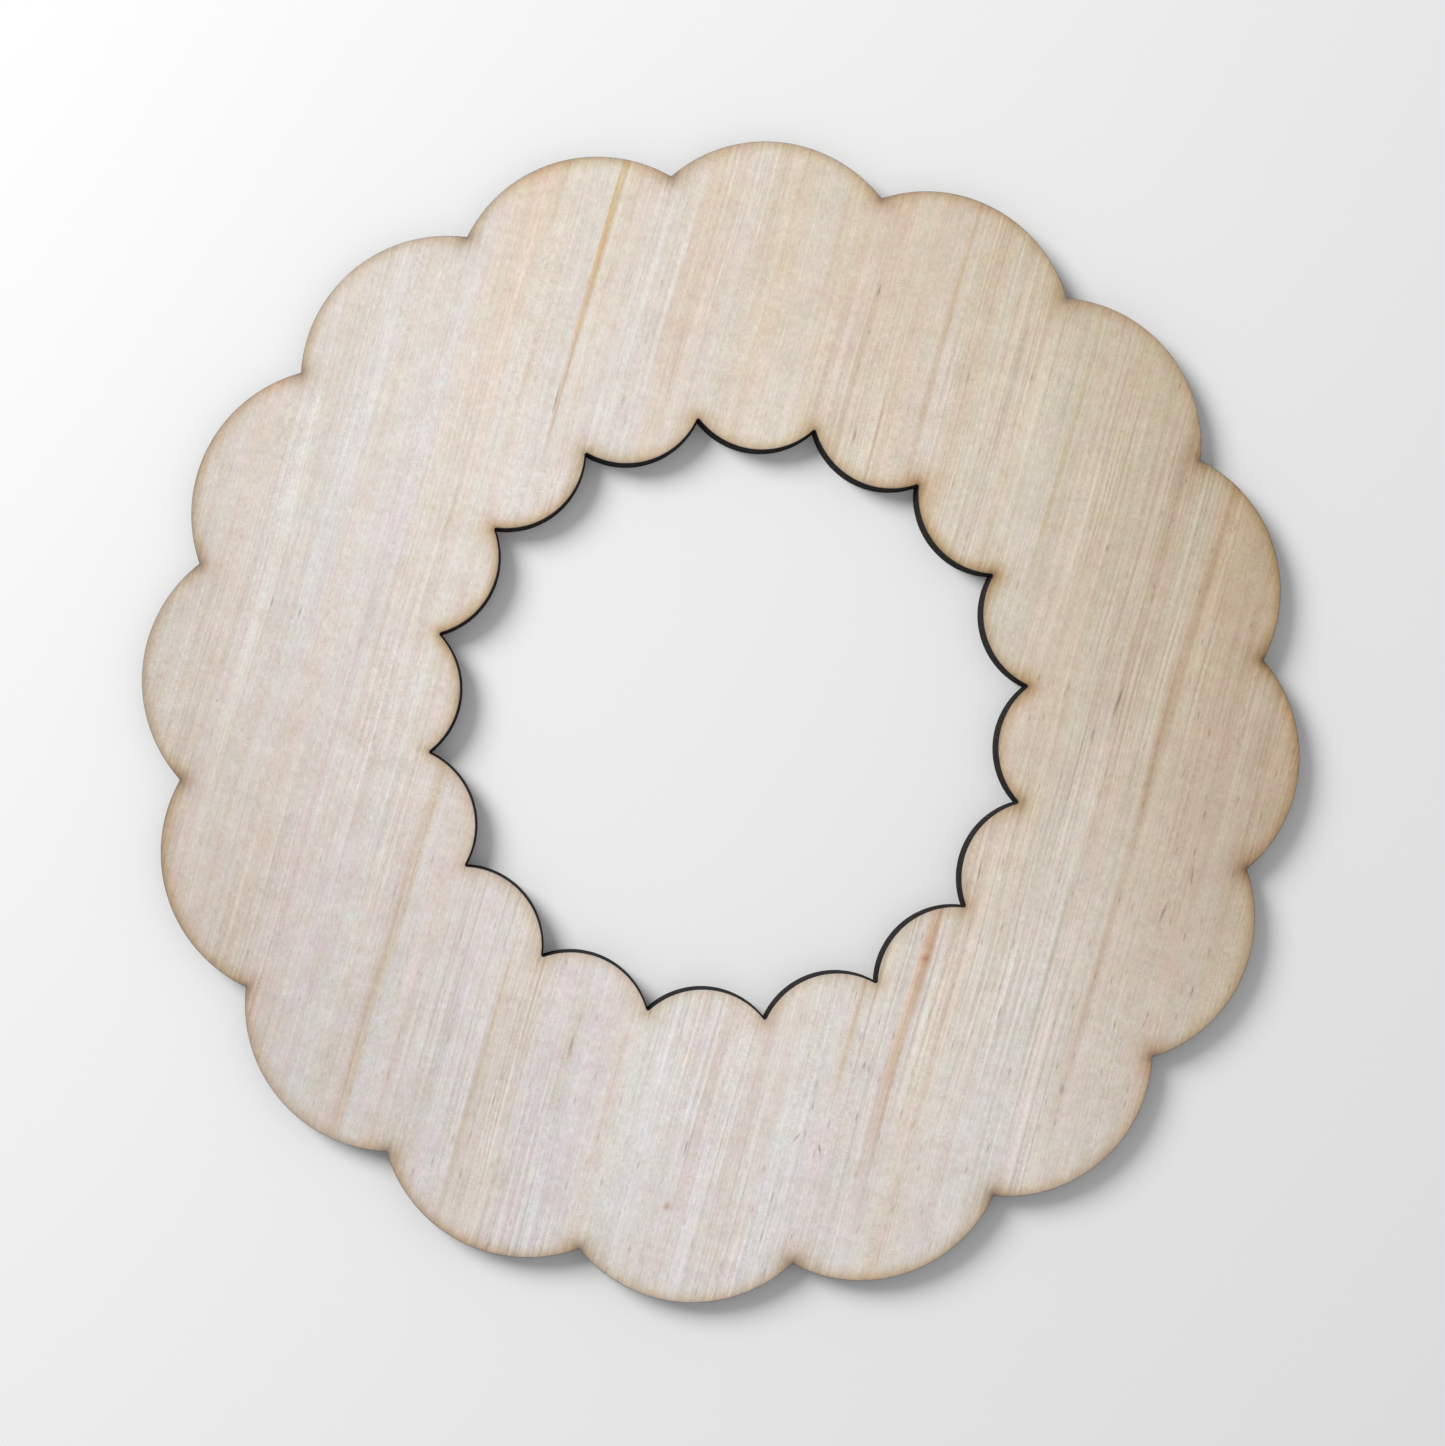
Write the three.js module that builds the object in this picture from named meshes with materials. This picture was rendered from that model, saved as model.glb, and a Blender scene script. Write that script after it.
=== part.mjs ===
// A flat wreath blank of thin plywood, cut by laser: a ring with a scalloped outer edge and a scalloped hole.
// Millimetres, +Z up. The blank lies on its back at z = 0, face up, with its centre on the Z axis and a lobe
// of each edge pointing along +X, +Y, -X and -Y.

import * as THREE from "three";

// Outline of the face. Each edge is a chain of equal round lobes, whose circles meet in sharp notches.
const LOBES = 16;
const FACE_DIAMETER = 152.4; // across opposite outer lobes
const OUTER_LOBE_RADIUS = 19.2;
const HOLE_DIAMETER = 71; // across opposite inner lobes, where the hole is narrowest
const INNER_LOBE_RADIUS = 10.3;

// The board: three veneers glued over their whole faces.
const BACK_VENEER = 0.9;
const CORE_VENEER = 1.2;
const FACE_VENEER = 0.9;
const THICKNESS = BACK_VENEER + CORE_VENEER + FACE_VENEER;

// The cut narrows on its way down, so both walls lean and the back is wider than the face on every edge.
const KERF_TAPER = 0.25;

// Straight steps along one lobe's arc.
const OUTER_ARC_STEPS = 12;
const INNER_ARC_STEPS = 10;

// Finishes. The edges of all three veneers are charred by the cut.
const PALE_WOOD = { color: 0xdccfbe, roughness: 0.62, metalness: 0 };
const CROSS_GRAIN_WOOD = { color: 0xb99d78, roughness: 0.75, metalness: 0 };

// One edge of the ring as a closed loop of points, counterclockwise. A lobe's circle has its centre at
// centreRadius and cuts the line halfway to the next lobe at the notch. side is 1 for lobes that bulge
// outwards and -1 for lobes that bulge into the hole.
function scallopedLoop(centreRadius, lobeRadius, arcSteps, side) {
  const halfPitch = Math.PI / LOBES;
  const along = centreRadius * Math.cos(halfPitch);
  const across = centreRadius * Math.sin(halfPitch);
  const notchRadius = along + side * Math.sqrt(lobeRadius ** 2 - across ** 2);
  const halfArc = Math.atan2(
    notchRadius * Math.sin(halfPitch),
    side * (notchRadius * Math.cos(halfPitch) - centreRadius),
  );
  const points = [];
  for (let lobe = 0; lobe < LOBES; lobe++) {
    const turn = 2 * halfPitch * lobe;
    for (let step = 0; step < arcSteps; step++) {
      const angle = halfArc * ((2 * step) / arcSteps - 1);
      const point = new THREE.Vector2(
        centreRadius + side * lobeRadius * Math.cos(angle),
        lobeRadius * Math.sin(angle),
      );
      points.push(point.rotateAround(new THREE.Vector2(), turn));
    }
  }
  return points;
}

// Both edges of the ring at a height above the back.
function outlineAt(height) {
  const growth = KERF_TAPER * (1 - height / THICKNESS);
  const outerCentre = FACE_DIAMETER / 2 - OUTER_LOBE_RADIUS;
  const innerCentre = HOLE_DIAMETER / 2 + INNER_LOBE_RADIUS;
  return {
    outer: scallopedLoop(outerCentre, OUTER_LOBE_RADIUS + growth, OUTER_ARC_STEPS, 1),
    inner: scallopedLoop(innerCentre, INNER_LOBE_RADIUS + growth, INNER_ARC_STEPS, -1),
  };
}

// A closed wall between a lower and an upper loop. firstLow and firstHigh are the loops' first vertices, and
// side turns the triangles to face out of the ring's body.
function wallTriangles(count, firstLow, firstHigh, side) {
  const triangles = [];
  for (let i = 0; i < count; i++) {
    const next = (i + 1) % count;
    const low = [firstLow + i, firstLow + next];
    const high = [firstHigh + i, firstHigh + next];
    if (side < 0) {
      low.reverse();
      high.reverse();
    }
    triangles.push(low[0], low[1], high[1], low[0], high[1], high[0]);
  }
  return triangles;
}

// The solid of one veneer, between two heights: the outlines at both heights, each filled with the same
// pattern of triangles, and the leaning walls between them.
function veneerGeometry(bottom, top) {
  const low = outlineAt(bottom);
  const high = outlineAt(top);
  const outerCount = low.outer.length;
  const innerCount = low.inner.length;
  const ringCount = outerCount + innerCount;

  const positions = [];
  for (const [outline, height] of [[low, bottom], [high, top]]) {
    for (const point of [...outline.outer, ...outline.inner]) {
      positions.push(point.x, point.y, height);
    }
  }

  const index = [];
  for (const [a, b, c] of THREE.ShapeUtils.triangulateShape(high.outer, [high.inner])) {
    index.push(ringCount + a, ringCount + b, ringCount + c);
    index.push(c, b, a);
  }
  index.push(...wallTriangles(outerCount, 0, ringCount, 1));
  index.push(...wallTriangles(innerCount, outerCount, ringCount + outerCount, -1));

  const geometry = new THREE.BufferGeometry();
  geometry.setAttribute("position", new THREE.Float32BufferAttribute(positions, 3));
  geometry.setIndex(index);
  geometry.computeVertexNormals();
  return geometry;
}

function veneer(name, bottom, top, finish) {
  const mesh = new THREE.Mesh(veneerGeometry(bottom, top), new THREE.MeshStandardMaterial(finish));
  mesh.name = name;
  return mesh;
}

const wreath = new THREE.Group();
wreath.add(
  veneer("back_veneer", 0, BACK_VENEER, PALE_WOOD),
  veneer("core_veneer", BACK_VENEER, BACK_VENEER + CORE_VENEER, CROSS_GRAIN_WOOD),
  veneer("face_veneer", BACK_VENEER + CORE_VENEER, THICKNESS, PALE_WOOD),
);

export default wreath;
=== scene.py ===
"""A scalloped wreath blank of thin three-ply wood, cut by laser, lying face up on a pale studio floor.

The blank is three veneers glued face to face. Each is a closed ring of its own, with rounded arrises, a
fine grid along the cuts and a finish that reads how far every point lies from a cut.
"""

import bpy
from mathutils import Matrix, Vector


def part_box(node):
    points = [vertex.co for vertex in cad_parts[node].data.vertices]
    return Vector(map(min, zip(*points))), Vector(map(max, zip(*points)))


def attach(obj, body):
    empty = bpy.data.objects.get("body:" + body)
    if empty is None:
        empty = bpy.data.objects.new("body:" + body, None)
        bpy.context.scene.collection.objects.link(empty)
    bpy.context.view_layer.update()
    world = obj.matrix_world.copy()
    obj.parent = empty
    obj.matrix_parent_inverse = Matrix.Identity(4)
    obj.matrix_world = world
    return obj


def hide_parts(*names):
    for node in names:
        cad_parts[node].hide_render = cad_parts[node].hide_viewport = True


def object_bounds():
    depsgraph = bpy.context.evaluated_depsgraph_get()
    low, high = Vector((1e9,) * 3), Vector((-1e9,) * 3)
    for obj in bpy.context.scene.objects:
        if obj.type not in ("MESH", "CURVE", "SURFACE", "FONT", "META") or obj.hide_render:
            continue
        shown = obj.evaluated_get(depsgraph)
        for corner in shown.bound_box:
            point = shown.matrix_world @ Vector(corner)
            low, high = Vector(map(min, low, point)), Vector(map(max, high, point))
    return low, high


bl_info = {
    "name": "Scalloped Plywood Wreath Blank",
    "version": (1, 0, 0),
    "blender": (4, 5, 0),
    "location": "3D View > Sidebar > Wreath",
    "description": "Builds a laser-cut plywood wreath blank with its grain, mineral streaks and scorch",
    "category": "Add Mesh",
}

import math
from typing import NamedTuple

import bpy
import numpy as np
from bpy.props import FloatProperty, FloatVectorProperty, IntProperty, PointerProperty
from mathutils import Color, Euler, Matrix, Vector

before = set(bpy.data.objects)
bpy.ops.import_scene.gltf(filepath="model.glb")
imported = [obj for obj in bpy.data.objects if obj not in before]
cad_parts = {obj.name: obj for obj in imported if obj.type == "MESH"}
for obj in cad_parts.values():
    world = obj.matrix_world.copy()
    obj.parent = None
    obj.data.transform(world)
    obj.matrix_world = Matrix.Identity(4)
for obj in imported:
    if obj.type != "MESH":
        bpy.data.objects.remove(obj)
CAD_LOW, CAD_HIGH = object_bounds()

MM = 0.001

BOARD_THICKNESS = CAD_HIGH.z - CAD_LOW.z
BACK_DIAMETER = CAD_HIGH.x - CAD_LOW.x

# The rim's distance from the middle in millimetres, as the materials measure it.
RIM = (BACK_DIAMETER / 2) / MM

# Points along each lobe's arc and each notch's fillet.
ARC_POINTS = 72
FILLET_POINTS = 8

# Distances from the cut, on faces that show and on hidden ones, at which a row of the grid lies.
FACE_INSETS = np.array([0.14, 0.24, 0.38, 0.55, 0.8, 1.15, 1.6, 2.2, 3.0, 4.2]) * MM
HIDDEN_INSETS = np.array([0.3, 4.2]) * MM

# Steps of the grid round an arris, up a wall and across the band between the two edges' innermost rows.
ARRIS_STEPS = 3
WALL_STEPS = 5
BAND_STEPS = 5

# A distance from the nearest notch that none of its stains reaches.
FAR_FROM_NOTCH = 3 * FACE_INSETS[-1]

# How much the scorch differs by chance from lobe to lobe.
LOBE_UNEVENNESS = 0.3
SMOKE_SEED = 2732

# What each stain leaves of the red, green and blue light that passes it. Above 1 the wood is paler there.
AMBER_DYE = (0.885, 0.755, 0.585)
TAN_DYE = (0.86, 0.77, 0.635)
ORANGE_DYE = (0.88, 0.71, 0.56)
RUSSET_DYE = (0.84, 0.735, 0.645)
OLIVE_DYE = (0.9, 0.835, 0.725)
UMBER_DYE = (0.9, 0.87, 0.83)
PALE_DYE = (1.05, 1.115, 1.12)
COOL_DYE = (1.045, 1.06, 1.08)
MILKY_DYE = (1.034, 1.065, 1.085)
BLUISH_DYE = (0.985, 1.01, 1.04)
CREAM_DYE = (1.0, 0.98, 0.95)
DUSKY_DYE = (0.957, 0.928, 0.922)
DULL_DYE = (0.97, 0.969, 0.976)
PITH_DYE = (0.42, 0.36, 0.33)
PORE_DYE = (0.74, 0.66, 0.64)
HAIRLINE_DYE = (0.955, 0.945, 0.935)
# Not dyes: these two darken and yellow the veneer's tone, partly the wood's own drift and partly painted
# shade.
DEEPENING_TONE_AND_SHADE = (0.79, 0.747, 0.677)
YELLOWING_TONE_AND_SHADE = (0.973, 0.94, 0.862)
RUST_DYE = (0.7, 0.48, 0.38)


def length_setting(name, description, millimetres):
    """A property for a length, given in millimetres and kept in metres."""
    return FloatProperty(
        name=name, description=description, default=millimetres * MM, subtype="DISTANCE", unit="LENGTH",
    )


def angle_setting(name, description, degrees):
    """A property for an angle, given in degrees and kept in radians."""
    return FloatProperty(
        name=name, description=description, default=math.radians(degrees), subtype="ANGLE", unit="ROTATION",
    )


def colour_setting(name, description, colour):
    """A property for a colour."""
    return FloatVectorProperty(
        name=name, description=description, default=colour, subtype="COLOR", min=0, max=1,
    )


class WreathShape(bpy.types.PropertyGroup):
    """Sizes of the cut."""

    lobes: IntProperty(
        name="Lobes", description="Round lobes along each edge of the ring", default=16, min=3,
    )
    outer_lobe_radius: length_setting(
        "Outer lobe radius", "Radius of a lobe on the outer edge, at the face", 19.2,
    )
    hole_diameter: length_setting(
        "Hole diameter", "Width of the hole between opposite lobes, at the face", 71.0,
    )
    inner_lobe_radius: length_setting(
        "Inner lobe radius", "Radius of a lobe on the edge of the hole, at the face", 10.3,
    )
    kerf_taper: length_setting(
        "Kerf taper", "How much further out the cut runs at the back than at the face", 0.25,
    )
    notch_radius: length_setting(
        "Notch radius", "Fillet that the laser's spot leaves at the bottom of a notch", 0.27,
    )
    arris_radius: length_setting(
        "Arris radius", "Rounding of the burnt edge between a face and the cut", 0.07,
    )
    glue_line_radius: length_setting(
        "Glue line radius", "Rounding of a veneer's edge beside a glue line", 0.04,
    )


class WreathFinish(bpy.types.PropertyGroup):
    """Colours of the wood and of the burn, and how far the burn reaches."""

    face_wood: colour_setting("Face wood", "Tone of the face veneer in its middle", (0.7, 0.634, 0.577))
    back_wood: colour_setting("Back wood", "Tone of the back veneer", (0.62, 0.53, 0.44))
    char: colour_setting("Char", "Burnt wall of the cut", (0.008, 0.0065, 0.0075))
    burnt_brown: colour_setting("Burnt brown", "Less burnt parts of the wall", (0.022, 0.015, 0.012))
    amber_scorch: colour_setting(
        "Amber scorch", "Light left by the wide amber smoke stain beside a cut", (0.839, 0.727, 0.553),
    )
    amber_reach: length_setting("Amber reach", "How far the amber stain reaches from a cut", 1.15)
    brown_scorch: colour_setting(
        "Brown scorch", "Light left by the narrow brown burn beside a cut", (0.638, 0.657, 0.819),
    )
    brown_reach: length_setting("Brown reach", "How far the brown burn reaches from a cut", 0.25)
    notch_burn: colour_setting(
        "Notch burn", "Light left by the brown burn round the bottom of a notch", (0.49, 0.525, 0.81),
    )
    notch_burn_reach: length_setting(
        "Notch burn reach", "How far the burn reaches from the bottom of a notch", 0.85,
    )
    notch_haze: colour_setting(
        "Notch haze", "Light left by the wide amber haze round a notch", (0.89, 0.78, 0.58),
    )
    notch_haze_reach: length_setting(
        "Notch haze reach", "How far the haze reaches from the bottom of a notch", 2.2,
    )
    grain_bearing: angle_setting("Grain bearing", "Bearing of the grain from the X axis", 79.2)


class WreathStudio(bpy.types.PropertyGroup):
    """Floor, light and camera."""

    floor_colour: colour_setting("Floor colour", "Colour of the studio floor", (0.80, 0.80, 0.797))
    floor_radius: length_setting("Floor radius", "Radius of the round studio floor", 3000)
    room_light: FloatProperty(
        name="Room light", description="Brightness of the even light from all round", default=0.48, min=0,
    )
    key_power: FloatProperty(
        name="Key power", description="Power of the soft key light",
        default=10.6, min=0, subtype="POWER", unit="POWER",
    )
    key_distance: length_setting("Key distance", "Distance of the key light from the blank", 1000)
    key_width: length_setting("Key width", "Width of the round key light", 500)
    key_bearing: angle_setting("Key bearing", "Bearing of the key light from the X axis", 148)
    key_elevation: angle_setting("Key elevation", "Height of the key light above the horizon", 34)
    lens: FloatProperty(
        name="Lens", description="Focal length on a 36 mm sensor", default=63.35, min=1, unit="CAMERA",
    )
    camera_distance: length_setting("Camera distance", "Distance of the camera from the face", 332.9)


# The camera's turn from looking straight down, and how far its axis passes from the middle of the face, to
# its own right and up.
CAMERA_TURN = Euler((math.radians(1.105), math.radians(-4.831), math.radians(4.869)))
CAMERA_ASIDE = (-1.201 * MM, -0.549 * MM)
CAMERA_NEAREST = 10 * MM
SENSOR_WIDTH = 36.0

# The floor: rings and spokes of its grid, its first ring as a share of its radius, and its faint clouds.
FLOOR_RINGS = 12
FLOOR_SPOKES = 64
FLOOR_FIRST_RING = 0.05
FLOOR_CLOUD_SCALE = 9.0
FLOOR_CLOUD_DETAIL = 4.0
FLOOR_CLOUD_SHADE = 0.985
FLOOR_ROUGHNESS = 0.8


class Smoke(NamedTuple):
    """How the smoke of the cut lies along one edge. The stain beside the cut is strongest at a bearing from
    +X and uneven by a share of its mean, and so is what lies round the notches. There, burn and haze are
    the mean strengths of the brown burn and of the amber haze."""

    bearing: float
    unevenness: float
    notch_bearing: float
    notch_unevenness: float
    burn: float
    haze: float


OUTER_SMOKE = Smoke(
    bearing=math.radians(312), unevenness=0.09, notch_bearing=math.radians(-31), notch_unevenness=0.21,
    burn=1.0, haze=0.88,
)
INNER_SMOKE = Smoke(
    bearing=math.radians(101), unevenness=0.37, notch_bearing=math.radians(25), notch_unevenness=0.72,
    burn=0.34, haze=0.62,
)


class Edge(NamedTuple):
    """One edge of the ring at face level: its points, the directions there that point out of the wood, and
    how the smoke lies along it."""

    points: np.ndarray
    outward: np.ndarray
    smoke: Smoke


class Section(NamedTuple):
    """A veneer's cross-section near one edge, from its underside round the wall to its top side: how far
    each row lies inside the cut's line, and its height."""

    inset: np.ndarray
    height: np.ndarray


class Range(NamedTuple):
    """Two ends between which a value varies."""

    low: float
    high: float

    def at(self, share):
        """low where share is 0, high where it is 1."""
        return self.low + (self.high - self.low) * share


class Noise(NamedTuple):
    """A smooth noise whose blobs are width by length, in millimetres across and along the grain, and the
    seed that keeps it unlike the others of its veneer."""

    width: float
    length: float
    seed: float


class Grain(NamedTuple):
    """One width of grain lines or clouds, in millimetres across and along the grain: how strongly they vary
    in depth, how much more blue than red a deep one takes, how strongly they also vary by themselves
    between warm and cool and between rose and green, and how often they are repeated at half the size."""

    pitch: float
    length: float
    depth: float
    amber: float
    warm: float
    rose: float
    detail: int = 0


class Lines(NamedTuple):
    """One width of fine grain lines, in millimetres across and along the grain, and how strongly they
    vary."""

    pitch: float
    length: float
    depth: float


class Streak(NamedTuple):
    """A stained line along the grain, in millimetres across and along it: how much of its dye it takes, and
    how far it goes across for each millimetre along."""

    across: float
    start: float
    end: float
    width: float
    dye: tuple
    amount: float = 1.0
    lean: float = 0.0

    @property
    def along(self):
        return (self.start + self.end) / 2


class Mark(NamedTuple):
    """A fleck or a broad patch of tone with soft edges, in millimetres across and along the grain: how much
    of its dye it takes, and its lean in degrees."""

    across: float
    along: float
    width: float
    length: float
    amount: float
    lean: float = 0.0
    dye: tuple = PITH_DYE


# The hues between which the grain varies: a deep line's, warm against cool, and rose against green.
DEEP_HUE = (-1, 0, 1)
WARM_HUE = (0.5, 0.0, -0.5)
ROSE_HUE = (0.4, -0.6, 0.4)

# How many lengths along the grain a seed moves a noise for each width across it, and the steps between the
# seeds of one veneer's grains and of its lines.
SEED_SLANT = 1.7
GRAIN_SEED_STEP = 5.3
LINES_SEED_STEP = 3.1

# The grain's slow wander, and how far it goes aside in millimetres.
WANDER = Noise(width=20, length=22, seed=5.0)
WANDER_REACH = 0.6

# How the tone deepens with the squares of the places across and along, and with their product, which are
# all 1 at the rim. The deepening is partly the wood's own tone and partly painted shade.
DEEPENING_ACROSS = 0.97
DEEPENING_ALONG = 0.36
DEEPENING_ASLANT = 0.9

# What makes the right of the veneer crisper than the left: the direction, and where along it the change
# starts and ends, with the rim at 1.
RIGHTWARDS = (0.7, -0.35)
RIGHTWARDS_ENDS = (-0.8, 0.5)

# How crisp the fine lines are, in cloudy patches and from left to right.
CLARITY_CLOUDS = Noise(width=14, length=45, seed=61)
CLARITY_CLOUD_EDGES = (0.3, 0.7)
CLARITY_BY_CLOUD = Range(0.6, 1.4)
CLARITY_RIGHTWARDS = Range(0.46, 0.9)

# Short fibres all over, and ribs across the grain in patches. A fine line takes more blue than red.
FIBRES = Noise(width=0.22, length=0.8, seed=31)
FIBRE_DEPTH = Range(-0.08, 0.08)
RIBS = Noise(width=0.7, length=0.17, seed=83)
RIB_DEPTH = Range(-0.085, 0.085)
RIB_PATCHES = Noise(width=2.5, length=30, seed=87)
RIB_PATCH_EDGES = (0.5, 0.7)
LINE_HUE = (0.94, 1.0, 1.06)

# Dark hairlines run where a drawn-out noise passes its middle.
HAIRLINES = Noise(width=1.3, length=120, seed=37)
HAIRLINE_REACH = 0.1

# A streak's strength varies along it. Across it the falloff is part square and part fourth power.
STREAK_BREAKS = Noise(width=0.4, length=14, seed=41)
STREAK_STRENGTH = Range(0.6, 1.4)
STREAK_SQUARE_SHARE = 0.4

# Pores: their grid's cells and their own size, in millimetres across and along the grain, the share of the
# cells that have one, and how dark they are from left to right.
PORE_SPACING = (2.0, 5.0)
PORE_SIZE = (0.1, 0.55)
PORE_SHARE = 0.6
PORE_SEED = 71
PORE_STRENGTH = Range(0.3, 1.2)

# The scorch runs further in along some grain lines. A higher power keeps a stain even near the cut and ends
# it more sharply.
SCORCH_LINES = Noise(width=0.5, length=9, seed=7)
SCORCH_REACH = Range(0.75, 1.25)
AMBER_POWER = 1.9
HAZE_POWER = 1.7

# The charred wall, its upright stripes and where, in millimetres inside the cut's line, it ends.
WALL_STRIPES = Noise(width=0.3, length=0.3, seed=91)
WALL_STRIPE_EDGES = (0.45, 0.85)
WALL_ENDS = (0.06, -0.03)

# Relief and gloss.
RELIEF_FIBRES = Noise(width=0.24, length=6, seed=97)
RELIEF_STRENGTH = 0.35
RELIEF_DEPTH = 0.03 * MM
WOOD_ROUGHNESS = Range(0.56, 0.66)
WALL_ADDED_ROUGHNESS = 0.34
CORE_ROUGHNESS = 0.95
SPECULAR_LEVEL = 0.2

# Broad bands of the grain differ most in hue, and short ones make cloudy patches. Fine lines differ in
# depth.
FACE_GRAIN = (
    Grain(pitch=7.0, length=140, depth=0.05, amber=1.85, warm=0.03, rose=0.035),
    Grain(pitch=3.2, length=130, depth=0.064, amber=1.25, warm=0.03, rose=0.03),
    Grain(pitch=1.6, length=90, depth=0.105, amber=0.45, warm=0.02, rose=0.03),
    Grain(pitch=5.0, length=4.5, depth=0.45, amber=0.25, warm=0.24, rose=0.23, detail=4),
)
FACE_LINES = (
    Lines(pitch=0.8, length=60, depth=0.135),
    Lines(pitch=0.45, length=26, depth=0.22),
    Lines(pitch=0.24, length=26, depth=0.22),
)
BACK_GRAIN = (
    Grain(pitch=9.0, length=160, depth=0.09, amber=0.9, warm=0.04, rose=0.03),
    Grain(pitch=2.6, length=110, depth=0.11, amber=0.7, warm=0.04, rose=0.03),
    Grain(pitch=5.0, length=5.0, depth=0.4, amber=0.25, warm=0.2, rose=0.2, detail=4),
)
BACK_LINES = (
    Lines(pitch=0.9, length=60, depth=0.14),
    Lines(pitch=0.4, length=30, depth=0.2),
)

FACE_STREAKS = (
    Streak(across=-33.2, start=78, end=40, width=0.5, dye=AMBER_DYE, amount=1.35, lean=0.002),
    Streak(across=-33.2, start=46, end=26, width=0.3, dye=AMBER_DYE, amount=0.55),
    Streak(across=-33.15, start=43, end=26, width=0.2, dye=UMBER_DYE, amount=1.3),
    Streak(across=-34.75, start=-4, end=-73, width=0.95, dye=AMBER_DYE, amount=0.75, lean=0.014),
    Streak(across=-35.2, start=-32, end=-62, width=0.15, dye=UMBER_DYE, amount=0.9, lean=0.014),
    Streak(across=-18.3, start=-40, end=-72, width=0.4, dye=TAN_DYE, amount=0.25, lean=0.008),
    Streak(across=-8.6, start=-39, end=-58, width=0.8, dye=TAN_DYE, amount=0.5),
    Streak(across=-14.9, start=-36, end=-50, width=0.18, dye=UMBER_DYE, amount=2.0),
    Streak(across=32.8, start=-14, end=-50, width=0.9, dye=ORANGE_DYE, amount=0.78, lean=0.01),
    Streak(across=33.1, start=-17, end=-31, width=0.8, dye=ORANGE_DYE, amount=0.48),
    Streak(across=32.6, start=-38, end=-62, width=1.0, dye=RUSSET_DYE, amount=0.15),
    Streak(across=55.9, start=52, end=0, width=0.85, dye=RUSSET_DYE, amount=0.65, lean=0.012),
    Streak(across=55.85, start=24, end=0, width=0.7, dye=RUSSET_DYE, amount=0.45),
    Streak(across=55.5, start=2, end=-40, width=0.5, dye=RUSSET_DYE, amount=0.6, lean=0.012),
    Streak(across=13.6, start=78, end=36, width=0.45, dye=OLIVE_DYE),
    Streak(across=-19.25, start=-36, end=-74, width=0.55, dye=OLIVE_DYE, amount=0.75, lean=0.012),
    Streak(across=-19.4, start=62, end=38, width=0.4, dye=UMBER_DYE, amount=0.8),
    Streak(across=49.1, start=54, end=14, width=1.1, dye=OLIVE_DYE, amount=0.5),
    Streak(across=32.95, start=68, end=26, width=0.5, dye=OLIVE_DYE, amount=0.85),
    Streak(across=-42.45, start=20, end=0, width=0.4, dye=UMBER_DYE, amount=0.9),
    Streak(across=-43.85, start=62, end=38, width=0.4, dye=UMBER_DYE, amount=0.4),
    Streak(across=-40.2, start=68, end=55, width=0.4, dye=OLIVE_DYE, amount=0.6),
    Streak(across=26.4, start=-26, end=-44, width=0.5, dye=OLIVE_DYE),
    Streak(across=3.5, start=64, end=35, width=0.45, dye=UMBER_DYE, lean=0.012),
    Streak(across=8.3, start=46, end=34, width=0.22, dye=RUSSET_DYE, amount=0.9),
    Streak(across=-61.0, start=34, end=14, width=0.45, dye=UMBER_DYE, amount=0.4),
    Streak(across=-62.6, start=34, end=-30, width=0.9, dye=PALE_DYE, amount=0.7),
    Streak(across=-56.5, start=50, end=-22, width=0.7, dye=COOL_DYE, amount=0.4),
    Streak(across=52.4, start=50, end=27, width=0.7, dye=PALE_DYE, amount=0.8),
    Streak(across=-7.2, start=78, end=36, width=0.15, dye=PALE_DYE, amount=0.9),
)

FACE_PATCHES = (
    Mark(across=-11, along=56, width=20, length=18, amount=1.0, dye=CREAM_DYE),
    Mark(across=-34, along=-44, width=15, length=16, amount=0.8, dye=DULL_DYE),
    Mark(across=37.2, along=-57, width=2.0, length=13, amount=1.0, dye=BLUISH_DYE),
    Mark(across=34, along=52, width=12, length=16, amount=1.0, dye=MILKY_DYE),
    Mark(across=46, along=-31, width=9, length=18, amount=0.8, dye=MILKY_DYE),
    Mark(across=-60, along=6, width=13, length=16, amount=0.4, dye=MILKY_DYE),
    Mark(across=4, along=-54, width=6, length=11, amount=0.6, dye=MILKY_DYE),
    Mark(across=-40, along=27, width=8, length=20, amount=0.6, dye=MILKY_DYE),
    Mark(across=30, along=-32, width=6, length=11, amount=0.75, dye=MILKY_DYE),
    Mark(across=-12.5, along=-58, width=4, length=12, amount=0.8, dye=BLUISH_DYE),
    Mark(across=-28, along=-56, width=5, length=12, amount=0.5, dye=BLUISH_DYE),
    Mark(across=-62, along=34, width=8, length=17, amount=0.7, dye=CREAM_DYE),
    Mark(across=68, along=2, width=9, length=21, amount=1.1, dye=DUSKY_DYE),
    Mark(across=48.3, along=14, width=3, length=13, amount=0.6, dye=DUSKY_DYE),
    Mark(across=-20, along=50, width=4.5, length=20, amount=0.75, dye=DUSKY_DYE),
    Mark(across=-4, along=56, width=5, length=10, amount=0.45, dye=DUSKY_DYE),
    Mark(across=-50, along=-30, width=5, length=16, amount=0.3, dye=DUSKY_DYE),
    Mark(across=-23, along=-28, width=9, length=8, amount=0.75, dye=DUSKY_DYE),
    Mark(across=-45, along=48, width=3, length=9, amount=0.5, dye=DULL_DYE),
    Mark(across=-43.8, along=40, width=2, length=20, amount=0.6, dye=MILKY_DYE),
    Mark(across=-28, along=-54, width=4, length=14, amount=0.7, dye=DULL_DYE),
    Mark(across=-20, along=-60, width=2.5, length=13, amount=1.0, dye=DULL_DYE),
)

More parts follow.
